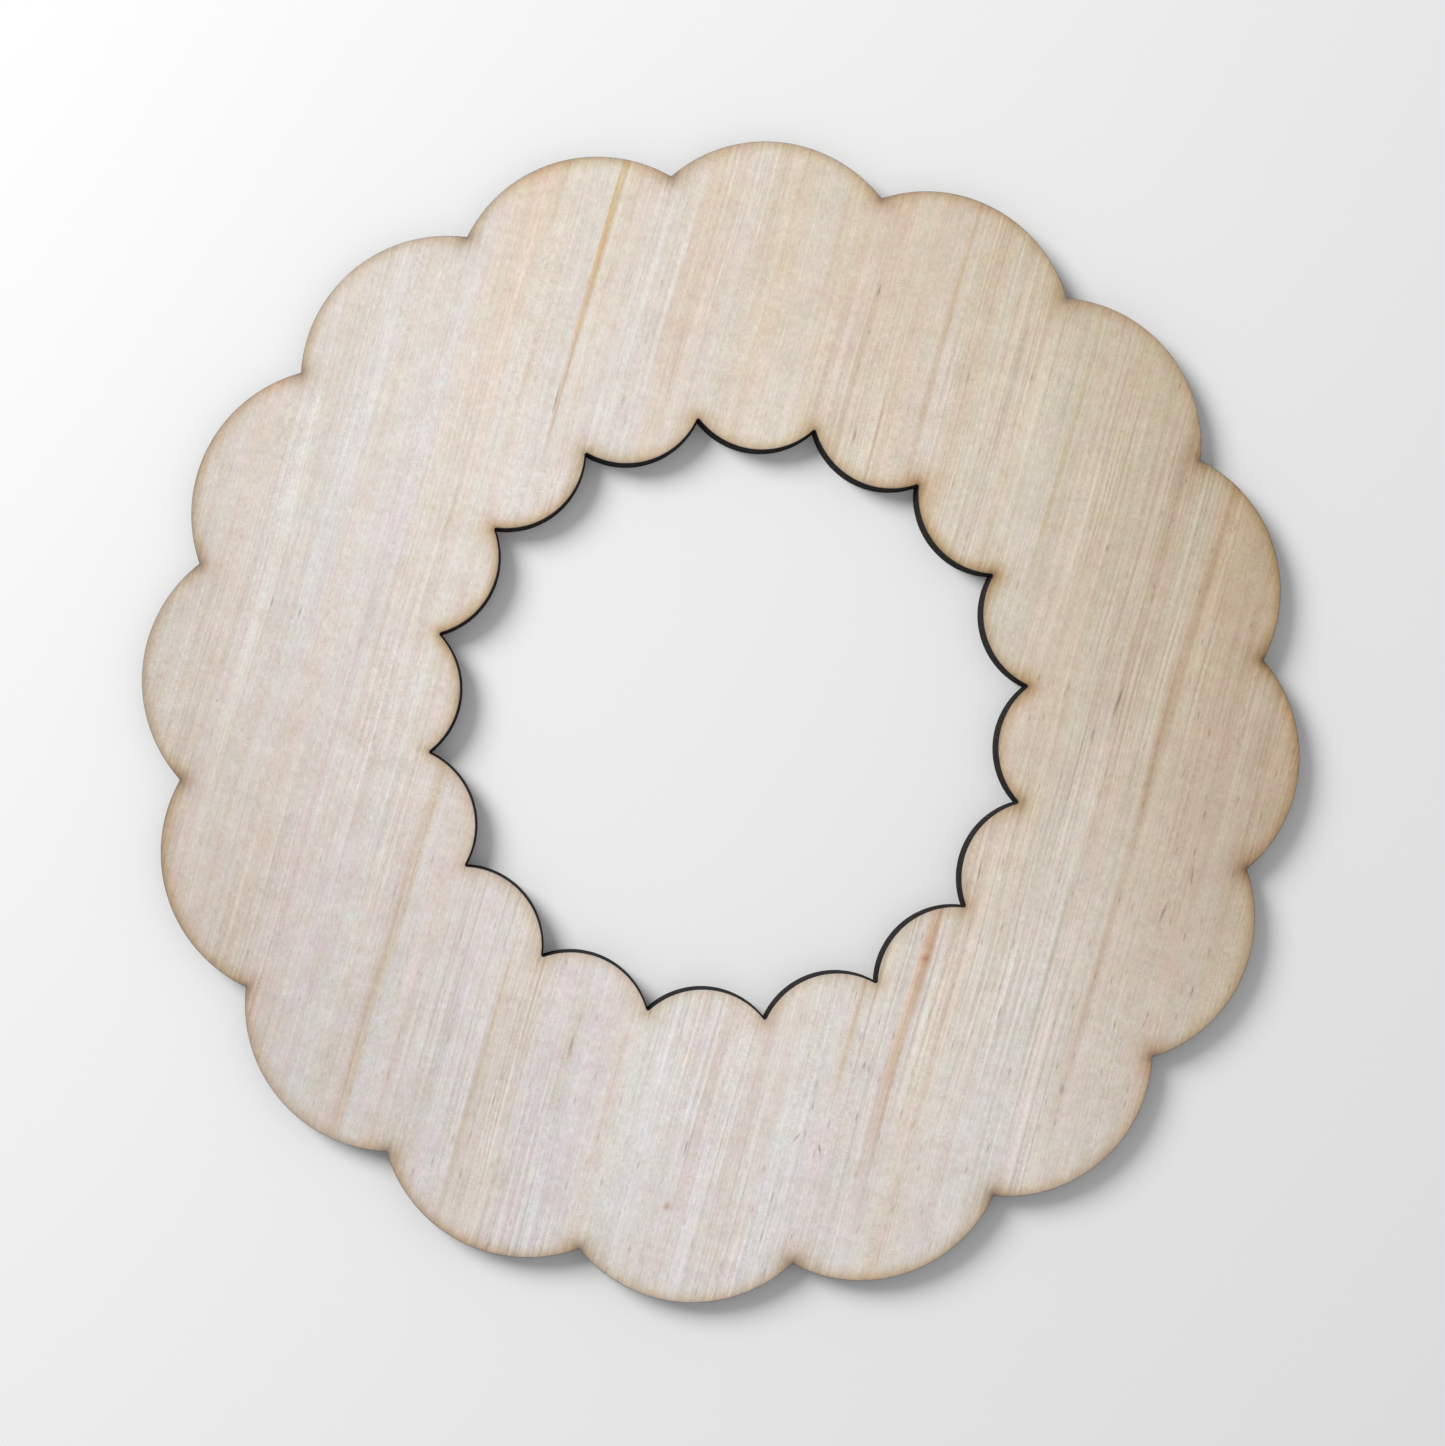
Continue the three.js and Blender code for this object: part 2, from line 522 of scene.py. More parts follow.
FACE_FLECKS = (
    Mark(across=-8.5, along=-46.5, width=0.14, length=1.3, amount=0.8),
    Mark(across=9.0, along=-63.4, width=0.45, length=0.6, amount=0.75, dye=RUST_DYE),
    Mark(across=9.3, along=-55.3, width=0.12, length=1.0, amount=0.8),
    Mark(across=23.0, along=-50.3, width=0.12, length=0.5, amount=0.8, lean=-24),
    Mark(across=26.2, along=-51.0, width=0.16, length=0.6, amount=0.8, lean=24),
    Mark(across=26.6, along=-47.6, width=0.12, length=0.5, amount=0.6),
    Mark(across=29.2, along=-39.0, width=0.16, length=0.5, amount=0.6),
    Mark(across=33.0, along=-23.4, width=0.5, length=0.45, amount=0.7, dye=RUST_DYE),
    Mark(across=37.0, along=-10.5, width=0.1, length=1.3, amount=0.7, lean=6),
    Mark(across=44.4, along=-27.8, width=0.12, length=1.2, amount=0.75),
    Mark(across=55.3, along=-35.2, width=0.3, length=0.6, amount=0.6),
    Mark(across=62.2, along=-9.2, width=0.16, length=1.2, amount=0.75, lean=-8),
    Mark(across=64.6, along=-3.5, width=0.12, length=1.3, amount=0.7, lean=10),
    Mark(across=68.8, along=-18.2, width=0.14, length=0.9, amount=0.75),
    Mark(across=49.0, along=16.3, width=0.16, length=1.9, amount=0.85, lean=-6),
    Mark(across=46.7, along=11.0, width=0.22, length=0.8, amount=0.5),
    Mark(across=42.0, along=35.4, width=0.18, length=0.5, amount=0.6),
    Mark(across=3.6, along=59.6, width=0.16, length=0.8, amount=0.7),
    Mark(across=5.6, along=40.3, width=0.16, length=0.9, amount=0.7),
    Mark(across=-33.5, along=34.0, width=0.12, length=1.8, amount=0.7),
    Mark(across=-25.0, along=36.2, width=0.25, length=0.8, amount=0.45, dye=RUST_DYE),
    Mark(across=-61.5, along=-1.6, width=0.12, length=0.7, amount=0.6),
    Mark(across=-57.7, along=-2.0, width=0.12, length=0.7, amount=0.55),
    Mark(across=-64.5, along=-15.8, width=0.14, length=0.14, amount=0.7),
)

BACK_STREAKS = (
    Streak(across=-48, start=60, end=-30, width=0.9, dye=TAN_DYE, amount=0.6),
    Streak(across=21, start=74, end=-20, width=0.5, dye=OLIVE_DYE),
    Streak(across=44, start=30, end=-58, width=0.6, dye=RUSSET_DYE, amount=0.7),
    Streak(across=-14, start=-30, end=-72, width=0.5, dye=UMBER_DYE),
)
BACK_FLECKS = (
    Mark(across=-30, along=50, width=0.15, length=1.4, amount=0.7),
    Mark(across=58, along=12, width=0.15, length=1.0, amount=0.7),
    Mark(across=12, along=-57, width=0.2, length=1.6, amount=0.6),
)


class Veneer(NamedTuple):
    """What sets one veneer apart: its CAD node, its slot, which of its faces show, the setting for the tone
    of its wood, and its look. The core shows only its walls, so it needs no such tone."""

    piece: str
    node: str
    slot: str
    top_shows: bool
    bottom_shows: bool
    smoke: float
    seed: float
    wood: str = ""
    grain: tuple = ()
    lines: tuple = ()
    streaks: tuple = ()
    marks: tuple = ()


FACE = Veneer(
    "wreath_face", "face_veneer", "face_ply", top_shows=True, bottom_shows=False, smoke=1.0, seed=3.0,
    wood="face_wood", grain=FACE_GRAIN, lines=FACE_LINES, streaks=FACE_STREAKS,
    marks=FACE_PATCHES + FACE_FLECKS,
)
CORE = Veneer(
    "wreath_core", "core_veneer", "core_ply", top_shows=False, bottom_shows=False, smoke=1.0, seed=29.0,
)
BACK = Veneer(
    "wreath_back", "back_veneer", "back_ply", top_shows=False, bottom_shows=True, smoke=1.6, seed=57.0,
    wood="back_wood", grain=BACK_GRAIN, lines=BACK_LINES, streaks=BACK_STREAKS, marks=BACK_FLECKS,
)


def lobed_edge(shape, centre_radius, lobe_radius, side, smoke):
    """One edge of the ring as points and outward directions. A lobe is the arc of a circle whose centre lies
    at centre_radius, up to the two points where a fillet touches it. The fillet's circle lies in the air on
    the line halfway to the next lobe, as far from both lobes' centres as the two radii together. Everywhere
    the outward direction is the circle's own, so a parallel edge is the points moved along it."""
    half_pitch = math.pi / shape.lobes
    along = centre_radius * math.cos(half_pitch)
    across = centre_radius * math.sin(half_pitch)
    fillet = shape.notch_radius
    fillet_at = along + side * math.sqrt((lobe_radius + fillet) ** 2 - across ** 2)
    fillet_x = fillet_at * math.cos(half_pitch)
    fillet_y = fillet_at * math.sin(half_pitch)
    half_arc = math.atan2(fillet_y, side * (fillet_x - centre_radius))

    arc = np.linspace(-half_arc, half_arc, ARC_POINTS)
    arc_outward = np.column_stack([side * np.cos(arc), np.sin(arc)])
    arc_points = arc_outward * lobe_radius + (centre_radius, 0.0)

    arc_end = half_arc if side > 0 else math.pi - half_arc
    notch_middle = half_pitch if side > 0 else math.pi + half_pitch
    turn = np.linspace(arc_end, 2 * notch_middle - arc_end, FILLET_POINTS + 2)[1:-1]
    fillet_outward = np.column_stack([np.cos(turn), np.sin(turn)])
    fillet_points = (fillet_x, fillet_y) - fillet_outward * fillet

    lobe_points = np.vstack([arc_points, fillet_points])
    lobe_outward = np.vstack([arc_outward, fillet_outward])
    bearing = 2 * half_pitch * np.arange(shape.lobes)
    turns = np.array([[np.cos(bearing), np.sin(bearing)], [-np.sin(bearing), np.cos(bearing)]])
    points = np.einsum("pi,ijl->lpj", lobe_points, turns).reshape(-1, 2)
    outward = np.einsum("pi,ijl->lpj", lobe_outward, turns).reshape(-1, 2)
    return Edge(points, outward, smoke)


def ring_edges(shape):
    """The outer edge and the hole's edge at face level."""
    face_diameter = BACK_DIAMETER - 2 * shape.kerf_taper
    outer_centre = face_diameter / 2 - shape.outer_lobe_radius
    inner_centre = shape.hole_diameter / 2 + shape.inner_lobe_radius
    outer = lobed_edge(shape, outer_centre, shape.outer_lobe_radius, 1, OUTER_SMOKE)
    inner = lobed_edge(shape, inner_centre, shape.inner_lobe_radius, -1, INNER_SMOKE)
    return outer, inner


def half_section(bottom, top, low_radius, high_radius, low_insets, high_insets):
    """The cross-section near one edge: the underside from its innermost row out to the arris, a quarter
    circle, the upright wall, a second quarter circle, and the top side back to its innermost row."""
    quarter = np.linspace(0, math.pi / 2, ARRIS_STEPS + 1)
    wall = np.linspace(bottom + low_radius, top - high_radius, WALL_STEPS + 1)[1:-1]
    low = low_insets[::-1]
    inset = np.concatenate([
        low, low_radius * (1 - np.sin(quarter)), np.zeros_like(wall),
        high_radius * (1 - np.cos(quarter)), high_insets,
    ])
    height = np.concatenate([
        np.full_like(low, bottom), bottom + low_radius * (1 - np.cos(quarter)), wall,
        top - high_radius * (1 - np.sin(quarter)), np.full_like(high_insets, top),
    ])
    return Section(inset, height)


def parallel_rows(edge, section, shape):
    """The rows of the grid along one edge: the edge's points moved outwards by the kerf's taper at each
    row's height and inwards by the row's inset. Returns rows by points by three."""
    taper = shape.kerf_taper * (1 - section.height / BOARD_THICKNESS)
    growth = (taper - section.inset)[:, None, None]
    flat = edge.points + growth * edge.outward
    height = np.broadcast_to(section.height[:, None, None], flat.shape[:2] + (1,))
    return np.concatenate([flat, height], axis=2)


def notch_distances(edge, rows, shape):
    """Distance of each point from the nearest notch of its edge, by the law of cosines on the two radii and
    the angle between them."""
    pitch = 2 * math.pi / shape.lobes
    middle = edge.points[ARC_POINTS + FILLET_POINTS // 2]
    notch_at = math.hypot(*middle)
    radius = np.hypot(rows[..., 0], rows[..., 1])
    bearing = np.arctan2(rows[..., 1], rows[..., 0]) / pitch
    aside = (np.abs(bearing - np.floor(bearing) - 0.5)) * pitch
    return np.sqrt(np.maximum(radius ** 2 + notch_at ** 2 - 2 * radius * notch_at * np.cos(aside), 0))


def smoke_strengths(edge, shape, seed):
    """How strongly each point of an edge is smoked beside the cut, and round its notches: a mean of 1 that
    swings with the cosine of the angle from the smokiest bearing, and differs a little from lobe to lobe,
    blended along the edge."""
    bearing = np.arctan2(edge.points[:, 1], edge.points[:, 0])
    chance = np.random.default_rng(seed)
    by_lobe = chance.uniform(-LOBE_UNEVENNESS, LOBE_UNEVENNESS, shape.lobes)
    place = np.mod(bearing / (2 * math.pi), 1) * shape.lobes
    lobe = np.interp(place, np.arange(shape.lobes + 1), np.append(by_lobe, by_lobe[0]))
    smoke = edge.smoke
    beside_cut = (1 + smoke.unevenness * np.cos(bearing - smoke.bearing)) * (1 + lobe)
    round_notch = (1 + smoke.notch_unevenness * np.cos(bearing - smoke.notch_bearing)) * (1 + lobe)
    return beside_cut, round_notch


def ring_grid(shape, veneer):
    """A veneer's closed surface as a grid, rows by points. The rows run round its cross-section: up along
    the outer edge, across the top side, down along the hole's edge and back across the underside. Rows
    between the two edges are blends of the innermost row of each."""
    low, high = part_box(veneer.node)
    section = half_section(
        low.z, high.z,
        shape.arris_radius if veneer.bottom_shows else shape.glue_line_radius,
        shape.arris_radius if veneer.top_shows else shape.glue_line_radius,
        FACE_INSETS if veneer.bottom_shows else HIDDEN_INSETS,
        FACE_INSETS if veneer.top_shows else HIDDEN_INSETS,
    )
    outer, inner = ring_edges(shape)
    outer_rows = parallel_rows(outer, section, shape)
    inner_rows = parallel_rows(inner, section, shape)
    share = np.linspace(0, 1, BAND_STEPS + 1)[1:-1, None, None]
    top_band = outer_rows[-1] * (1 - share) + inner_rows[-1] * share
    bottom_band = inner_rows[0] * (1 - share) + outer_rows[0] * share
    grid = np.concatenate([outer_rows, top_band, inner_rows[::-1], bottom_band])

    drop = np.minimum(section.height - low.z, high.z - section.height)
    from_cut = section.inset - drop
    count = outer.points.shape[0]
    edge_distance = np.broadcast_to(from_cut[:, None], (from_cut.size, count))
    band_distance = np.full((BAND_STEPS - 1, count), FACE_INSETS[-1])
    cut_distance = np.concatenate([edge_distance, band_distance, edge_distance[::-1], band_distance])

    far = np.full((BAND_STEPS - 1, count), FAR_FROM_NOTCH)
    outer_notch = notch_distances(outer, outer_rows, shape)
    inner_notch = notch_distances(inner, inner_rows, shape)
    notch_distance = np.concatenate([outer_notch, far, inner_notch[::-1], far])

    outer_smoke, outer_notches = smoke_strengths(outer, shape, SMOKE_SEED)
    inner_smoke, inner_notches = smoke_strengths(inner, shape, SMOKE_SEED + 1)
    is_inner = np.concatenate([
        np.zeros(from_cut.size), share[:, 0, 0], np.ones(from_cut.size), 1 - share[:, 0, 0],
    ])[:, None]
    smoke = outer_smoke * (1 - is_inner) + inner_smoke * is_inner
    burn = outer_notches * outer.smoke.burn * (1 - is_inner) + inner_notches * inner.smoke.burn * is_inner
    haze = outer_notches * outer.smoke.haze * (1 - is_inner) + inner_notches * inner.smoke.haze * is_inner
    fields = {
        "cut_distance": cut_distance / MM,
        "notch_distance": notch_distance / MM,
        "smoke": smoke * veneer.smoke,
        "notch_burn": burn * veneer.smoke,
        "notch_haze": haze * veneer.smoke,
    }
    return grid, fields


def closed_grid_mesh(name, grid, fields):
    """A mesh from a grid that closes on itself both ways, with one point attribute for each field."""
    rows, columns = grid.shape[:2]
    number = np.arange(rows * columns).reshape(rows, columns)
    next_column = np.roll(number, -1, axis=1)
    next_row = np.roll(number, -1, axis=0)
    next_both = np.roll(next_row, -1, axis=1)
    quads = np.stack([number, next_column, next_both, next_row], axis=-1).reshape(-1, 4)
    mesh = bpy.data.meshes.new(name)
    mesh.from_pydata(grid.reshape(-1, 3), [], quads)
    mesh.shade_smooth()
    for field, values in fields.items():
        attribute = mesh.attributes.new(field, "FLOAT", "POINT")
        attribute.data.foreach_set("value", values.astype(np.float32).ravel())
    mesh.update()
    return mesh


# The Mix node's sockets for its amount and its two colours, and its output for a colour.
MIX_AMOUNT = 0
MIX_FIRST = 6
MIX_SECOND = 7
MIX_RESULT = 2


def is_vector(term):
    """Whether a term of a sum or product is a colour or vector, as a wire or as plain numbers."""
    if isinstance(term, Wire):
        return term.socket.type in {"VECTOR", "RGBA"}
    return isinstance(term, (tuple, Color))


class Wire:
    """A socket of a material's nodes. Arithmetic on it adds Math nodes, or Vector Math nodes where one of
    the terms is a colour or vector."""

    def __init__(self, shader, socket):
        self.shader = shader
        self.socket = socket

    def __add__(self, other):
        return self.shader.combine("ADD", self, other)

    def __radd__(self, other):
        return self.shader.combine("ADD", other, self)

    def __sub__(self, other):
        return self.shader.combine("SUBTRACT", self, other)

    def __rsub__(self, other):
        return self.shader.combine("SUBTRACT", other, self)

    def __mul__(self, other):
        return self.shader.combine("MULTIPLY", self, other)

    def __rmul__(self, other):
        return self.shader.combine("MULTIPLY", other, self)

    def __truediv__(self, other):
        return self.shader.combine("DIVIDE", self, other)

    def __pow__(self, other):
        return self.shader.combine("POWER", self, other)

    def __rpow__(self, other):
        return self.shader.combine("POWER", other, self)


class Shader:
    """A material and the nodes that feed it."""

    def __init__(self, name):
        self.material = bpy.data.materials.new(name)
        self.material.use_nodes = True
        self.tree = self.material.node_tree
        self.tree.nodes.clear()

    def node(self, kind, settings, sockets, output=0):
        """Adds a node of a kind. Its settings come first, then the values or wires of its sockets. Gives
        the wire of one output, or of each where output is a tuple of names."""
        made = self.tree.nodes.new("ShaderNode" + kind)
        for name, value in settings.items():
            setattr(made, name, value)
        for name, value in sockets.items():
            socket = made.inputs[name]
            if isinstance(value, Wire):
                self.tree.links.new(value.socket, socket)
            elif is_vector(value):
                size = len(socket.default_value)
                socket.default_value = (tuple(value) + (1.0,))[:size]
            elif socket.type in {"VECTOR", "RGBA"}:
                socket.default_value = (value,) * len(socket.default_value)
            else:
                socket.default_value = value
        if isinstance(output, tuple):
            return tuple(Wire(self, made.outputs[name]) for name in output)
        return Wire(self, made.outputs[output]) if made.outputs else None

    def combine(self, operation, first, second):
        """The wire of a sum, product or the like of two terms, of which one at least is a wire."""
        kind = "VectorMath" if is_vector(first) or is_vector(second) else "Math"
        return self.node(kind, {"operation": operation}, {0: first, 1: second})

    def falloff(self, value):
        """1 where value is 0, falling as e to the power of minus value."""
        return math.exp(-1) ** value

    def dot(self, first, second):
        return self.node("VectorMath", {"operation": "DOT_PRODUCT"}, {0: first, 1: second}, output="Value")

    def parts(self, vector):
        return self.node("SeparateXYZ", {}, {0: vector}, output=("X", "Y", "Z"))

    def ramp(self, value, start, end):
        """0 at start, 1 at end and a smooth step between, also where end is the smaller."""
        return self.node(
            "MapRange", {"interpolation_type": "SMOOTHSTEP"},
            {"Value": value, "From Min": start, "From Max": end},
        )

    def attribute(self, name):
        return self.node("Attribute", {"attribute_name": name}, {}, output="Fac")

    def blend(self, amount, first, second):
        """first where amount is 0, second where it is 1."""
        sockets = {MIX_AMOUNT: amount, MIX_FIRST: first, MIX_SECOND: second}
        return self.node("Mix", {"data_type": "RGBA"}, sockets, MIX_RESULT)

    def stain(self, colour, dye, amount):
        """colour as seen through a dye, laid on by amount."""
        settings = {"data_type": "RGBA", "blend_type": "MULTIPLY", "clamp_factor": False}
        sockets = {MIX_AMOUNT: amount, MIX_FIRST: colour, MIX_SECOND: dye}
        return self.node("Mix", settings, sockets, MIX_RESULT)

    def spread(self, vector, width, length, seed):
        """vector measured in widths and lengths, from a place that a seed moves."""
        sockets = {0: vector, 1: (1 / width, 1 / length, 0), 2: (seed, seed * SEED_SLANT, 0)}
        return self.node("VectorMath", {"operation": "MULTIPLY_ADD"}, sockets)

    def within(self, vector, mark, turn, length):
        """How far a place lies from the middle of a mark: X across it in its widths, Y along it in
        lengths."""
        middle = (mark.across, mark.along, 0)
        if turn:
            size = (mark.width, length, 1)
            sockets = {0: vector, "Location": middle, "Rotation": (0, 0, turn), "Scale": size}
            return self.node("Mapping", {"vector_type": "TEXTURE"}, sockets)
        return (vector - middle) * (1 / mark.width, 1 / length, 0)

    def clouds(self, vector, width, length, seed, output="Fac", detail=0):
        """Smooth noise between 0 and 1 whose blobs are width by length, and as strong again at half the size
        detail times over."""
        place = self.spread(vector, width, length, seed)
        sockets = {"Vector": place, "Scale": 1.0, "Detail": detail, "Roughness": 1.0}
        return self.node("TexNoise", {"noise_dimensions": "2D"}, sockets, output)

    def noise(self, vector, noise, seed=0.0):
        """One of the named noises, on the veneer that a seed sets apart."""
        return self.clouds(vector, noise.width, noise.length, seed + noise.seed)

    def specks(self, vector, spacing, size, share, seed):
        """Small long marks, one at the middle of a share of the cells of a jittered grid."""
        place = self.spread(vector, *spacing, seed)
        sockets = {"Vector": place, "Scale": 1.0}
        cell, chance = self.node("TexVoronoi", {"voronoi_dimensions": "2D"}, sockets, ("Position", "Color"))
        aside = (place - cell) * (spacing[0] / size[0], spacing[1] / size[1], 0)
        picked = self.ramp(self.parts(chance)[0], 1 - share, 1.0)
        return self.falloff(self.dot(aside, aside)) * picked


def grain_frame(shader, bearing):
    """Places on the veneer in millimetres, X across the grain and Y along it, with the slow wander of a
    grain that isn't quite straight."""
    place = shader.node("TexCoord", {}, {}, output="Object")
    sockets = {"Vector": place, "Rotation": (0, 0, math.pi / 2 - bearing), "Scale": (1 / MM, 1 / MM, 0)}
    straight = shader.node("Mapping", {"vector_type": "POINT"}, sockets)
    wander = shader.noise(straight, WANDER) - 0.5
    return straight + wander * (WANDER_REACH, 0, 0)


def grain_tint(shader, place, grain, seed):
    """A colour round black that varies across the grain: depth, then warm against cool, then rose against
    green, each from its own channel of the same noise."""
    clouds = shader.clouds(place, grain.pitch, grain.length, seed, "Color", grain.detail)
    depth, warm, rose = shader.parts(clouds - 0.5)
    depth = depth * tuple(grain.depth * (1 + grain.amber * hue) for hue in DEEP_HUE)
    warm = warm * tuple(grain.warm * hue for hue in WARM_HUE)
    rose = rose * tuple(grain.rose * hue for hue in ROSE_HUE)
    return depth + warm + rose


def thinned(dye, amount):
    """A dye laid on by a share of its strength."""
    return tuple(1 - (1 - channel) * amount for channel in dye)


def streak_mask(shader, place, streak):
    """1 on the streak's line, falling off across it, and flat along it until it fades at both ends."""
    aside = shader.within(place, streak, -streak.lean, abs(streak.start - streak.end) / 2)
    square = aside * aside
    fourth = square * square
    by_square = shader.dot(square, (STREAK_SQUARE_SHARE, 0, 0))
    by_fourth = shader.dot(fourth, (1 - STREAK_SQUARE_SHARE, 1, 0))
    return shader.falloff(by_square + by_fourth)


def spot_mask(shader, place, mark):
    """1 in the middle of the mark, falling off as a bell both ways."""
    aside = shader.within(place, mark, math.radians(mark.lean), mark.length)
    return shader.falloff(shader.dot(aside, aside))


def tone_with_painted_shade(shader, place, tone):
    """tone as it drifts over the veneer, partly the wood's own tone and partly painted shade. It deepens
    away from a pale band that slants through the middle, by the square of the distance from it, and yellows
    evenly towards the upper right; the yellowing is likewise partly painted shade."""
    x, y, _ = shader.parts(place * (1 / RIM, 1 / RIM, 0))
    depth = DEEPENING_ACROSS * x * x + DEEPENING_ASLANT * x * y + DEEPENING_ALONG * y * y
    return shader.stain(shader.stain(tone, DEEPENING_TONE_AND_SHADE, depth), YELLOWING_TONE_AND_SHADE, x + y)


def rightwards(shader, place):
    """0 at the left rim, 1 at the right one, and a little less above than below."""
    direction = tuple(part / RIM for part in RIGHTWARDS) + (0,)
    return shader.ramp(shader.dot(place, direction), *RIGHTWARDS_ENDS)


def line_clarity(shader, place, seed):
    """How crisp the fine lines are: in cloudy patches, and less so on the left than on the right."""
    cloud = shader.ramp(shader.noise(place, CLARITY_CLOUDS, seed), *CLARITY_CLOUD_EDGES)
    return CLARITY_BY_CLOUD.at(cloud) * CLARITY_RIGHTWARDS.at(rightwards(shader, place))


def line_depth(shader, place, veneer):
    """How pale or deep the veneer's lines of every width are together, about a mean of 0."""
    depth = -sum(lines.depth for lines in veneer.lines) / 2
    for number, lines in enumerate(veneer.lines):
        seed = veneer.seed + LINES_SEED_STEP * number
        depth = lines.depth * shader.clouds(place, lines.pitch, lines.length, seed) + depth
    return depth


def fine_lines(shader, colour, place, veneer):
    """The fine grain: lines of each width, short fibres, ribs across the grain, and thin dark hairlines
    where a noise that is drawn out along the grain passes its middle."""
    clarity = line_clarity(shader, place, veneer.seed)
    depth = line_depth(shader, place, veneer)
    fibres = FIBRE_DEPTH.at(shader.noise(place, FIBRES, veneer.seed))
    ribbed = shader.ramp(shader.noise(place, RIB_PATCHES, veneer.seed), *RIB_PATCH_EDGES)
    ribs = RIB_DEPTH.at(shader.noise(place, RIBS, veneer.seed)) * ribbed
    tint = (depth * clarity + fibres + ribs) * LINE_HUE + 1.0
    middle = shader.noise(place, HAIRLINES, veneer.seed) - 0.5
    off_middle = shader.node("Math", {"operation": "ABSOLUTE"}, {0: middle})
    hairlines = shader.ramp(off_middle, HAIRLINE_REACH, 0.0)
    return shader.stain(colour * tint, HAIRLINE_DYE, hairlines * clarity)


def bare_wood(shader, veneer, tone, place):
    """Colour of the veneer before it is cut: its drifting tone with its painted shade, its grain, its
    streaks and its marks.
    """
    tint = (1, 1, 1)
    for number, grain in enumerate(veneer.grain):
        tint = grain_tint(shader, place, grain, veneer.seed + GRAIN_SEED_STEP * number) + tint
    colour = fine_lines(shader, tone_with_painted_shade(shader, place, tone) * tint, place, veneer)

    strength = STREAK_STRENGTH.at(shader.noise(place, STREAK_BREAKS, veneer.seed))
    for streak in veneer.streaks:
        dye = thinned(streak.dye, streak.amount)
        colour = shader.stain(colour, dye, streak_mask(shader, place, streak) * strength)
    for mark in veneer.marks:
        colour = shader.stain(colour, thinned(mark.dye, mark.amount), spot_mask(shader, place, mark))
    pores = shader.specks(place, PORE_SPACING, PORE_SIZE, PORE_SHARE, veneer.seed + PORE_SEED)
    return shader.stain(colour, PORE_DYE, pores * PORE_STRENGTH.at(rightwards(shader, place)))


def scorched(shader, colour, place, finish, seed):
    """The bare wood with the stains of the cut. All fade with distance from it, and run further in along
    some grain lines than others."""
    cut = shader.node("Math", {"operation": "MAXIMUM"}, {0: shader.attribute("cut_distance"), 1: 0.0})
    reach = SCORCH_REACH.at(shader.noise(place, SCORCH_LINES, seed))
    depth = cut * MM / reach
    smoke = shader.attribute("smoke")
    amber = shader.falloff((depth / finish.amber_reach) ** AMBER_POWER) * smoke
    colour = shader.stain(colour, finish.amber_scorch, amber)
    brown = shader.falloff(depth / finish.brown_reach) * smoke
    colour = shader.stain(colour, finish.brown_scorch, brown)

    depth = shader.attribute("notch_distance") * MM / reach
    burn = shader.falloff(depth / finish.notch_burn_reach) * shader.attribute("notch_burn")
    colour = shader.stain(colour, finish.notch_burn, burn)
    haze = shader.falloff((depth / finish.notch_haze_reach) ** HAZE_POWER) * shader.attribute("notch_haze")
    return shader.stain(colour, finish.notch_haze, haze)


def charred_wall(shader, place, finish, seed):
    """Colour and relief of the cut wall: char with browner stripes that stand upright, as the beam left
    them."""
    stripes = shader.noise(place, WALL_STRIPES, seed)
    browner = shader.ramp(stripes, *WALL_STRIPE_EDGES)
    return shader.blend(browner, finish.char, finish.burnt_brown), stripes


def veneer_material(veneer, finish):
    """The finish of one veneer: char on its walls and, where one of its faces shows, wood with its
    scorch."""
    shader = Shader(veneer.slot)
    place = grain_frame(shader, finish.grain_bearing)
    colour, relief = charred_wall(shader, place, finish, veneer.seed)
    roughness = CORE_ROUGHNESS
    if veneer.wood:
        bare = bare_wood(shader, veneer, getattr(finish, veneer.wood), place)
        wood = scorched(shader, bare, place, finish, veneer.seed)
        on_wall = shader.ramp(shader.attribute("cut_distance"), *WALL_ENDS)
        colour = shader.blend(on_wall, wood, colour)
        fibres = shader.noise(place, RELIEF_FIBRES, veneer.seed)
        roughness = WOOD_ROUGHNESS.at(fibres) + WALL_ADDED_ROUGHNESS * on_wall
        relief = fibres * (1 - on_wall) + relief * on_wall
    bump = {"Strength": RELIEF_STRENGTH, "Distance": RELIEF_DEPTH, "Height": relief}
    normal = shader.node("Bump", {}, bump)
    surface = shader.node("BsdfPrincipled", {}, {
        "Base Color": colour, "Roughness": roughness, "Normal": normal, "Specular IOR Level": SPECULAR_LEVEL,
    })
    shader.node("OutputMaterial", {}, {"Surface": surface})
    return shader.material


def add_veneer(context, veneer):
    """Builds one veneer in place of its CAD node."""
    if veneer.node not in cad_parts:
        raise RuntimeError(f"The frame has no node named {veneer.node}.")
    grid, fields = ring_grid(context.scene.wreath_shape, veneer)
    mesh = closed_grid_mesh(veneer.piece, grid, fields)
    mesh.materials.append(veneer_material(veneer, context.scene.wreath_finish))
    piece = bpy.data.objects.new(veneer.piece, mesh)
    context.scene.collection.objects.link(piece)
    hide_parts(veneer.node)
    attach(piece, "root")


class WREATH_OT_face_veneer(bpy.types.Operator):
    """Builds the pale face veneer with its streaks, flecks and scorch"""

    bl_idname = "wreath.face_veneer"
    bl_label = "Face Veneer"

    def execute(self, context):
        add_veneer(context, FACE)
        return {"FINISHED"}


class WREATH_OT_core_veneer(bpy.types.Operator):
    """Builds the core veneer, of which only the charred walls show"""

    bl_idname = "wreath.core_veneer"
    bl_label = "Core Veneer"

    def execute(self, context):
        add_veneer(context, CORE)
        return {"FINISHED"}


class WREATH_OT_back_veneer(bpy.types.Operator):
    """Builds the back veneer, smokier along its cuts than the face"""

    bl_idname = "wreath.back_veneer"
    bl_label = "Back Veneer"

    def execute(self, context):
        add_veneer(context, BACK)
        return {"FINISHED"}


